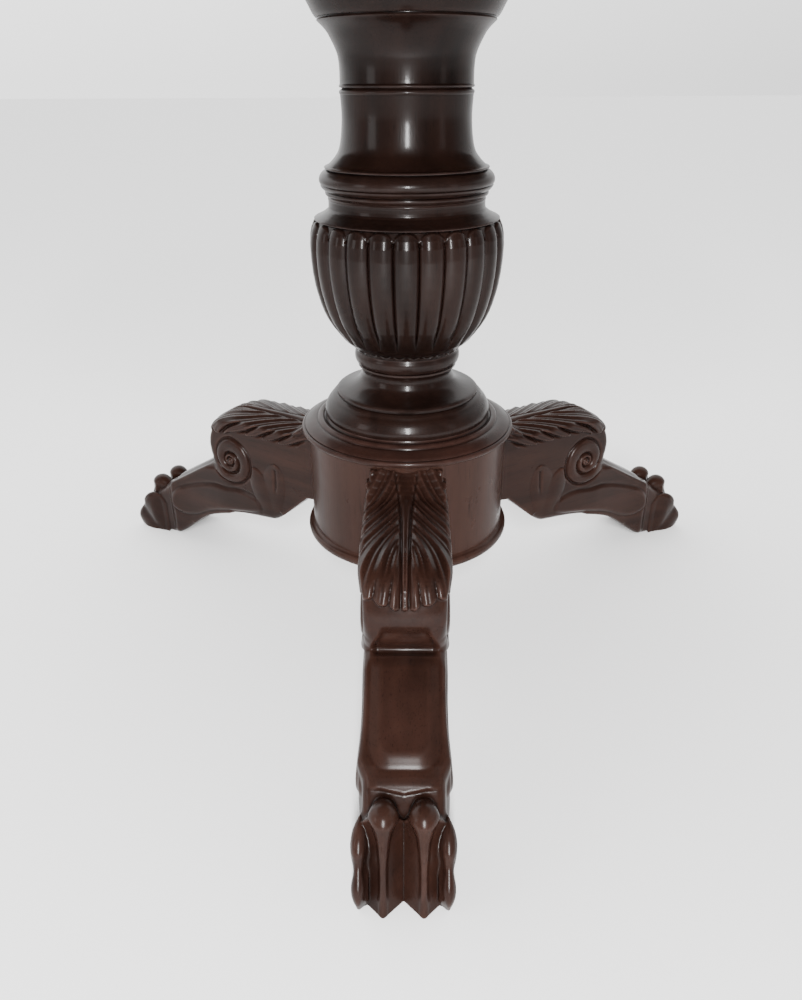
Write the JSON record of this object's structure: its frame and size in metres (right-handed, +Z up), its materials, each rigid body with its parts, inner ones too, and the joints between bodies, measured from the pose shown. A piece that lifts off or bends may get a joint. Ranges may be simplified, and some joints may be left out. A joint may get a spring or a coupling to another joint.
{
  "type": "round pedestal table",
  "caption": "Round pedestal table: glued-up top on bearers, turned column with a reeded vase, round hub and scrolled legs with carved paw feet.",
  "frame": {"origin": "on the floor, on the axis of the column", "axes": "+Z up; -Y towards the front leg; +X to the right of someone who faces the front leg"},
  "size_m": [1.2, 1.2, 0.76],
  "materials": {
    "polished_top": "dark mahogany, glossy varnish",
    "turned_wood": "very dark mahogany, glossy varnish",
    "carved_wood": "dark mahogany, glossy varnish, rubbed on the high edges",
    "bearer_wood": "plain mahogany, waxed, not varnished",
    "steel": "plain steel"
  },
  "bodies": {
    "root": {"top_board_1": "polished_top", "top_board_2": "polished_top", "top_board_3": "polished_top", "top_board_4": "polished_top", "bearer_left": "bearer_wood", "bearer_right": "bearer_wood", "bearer_screws": "steel", "mounting_block": "bearer_wood", "block_screws": "steel", "capital": "turned_wood", "ring_turning": "turned_wood", "reeded_vase": "turned_wood", "column_base": "turned_wood", "hub_collar": "carved_wood", "hub_drum": "carved_wood", "hub_disc": "carved_wood", "disc_screws": "steel", "leg_front": "carved_wood", "leg_right": "carved_wood", "leg_left": "carved_wood", "tie_rod": "steel", "rod_nuts": "steel", "rod_washers": "steel"}
  },
  "joints": []
}
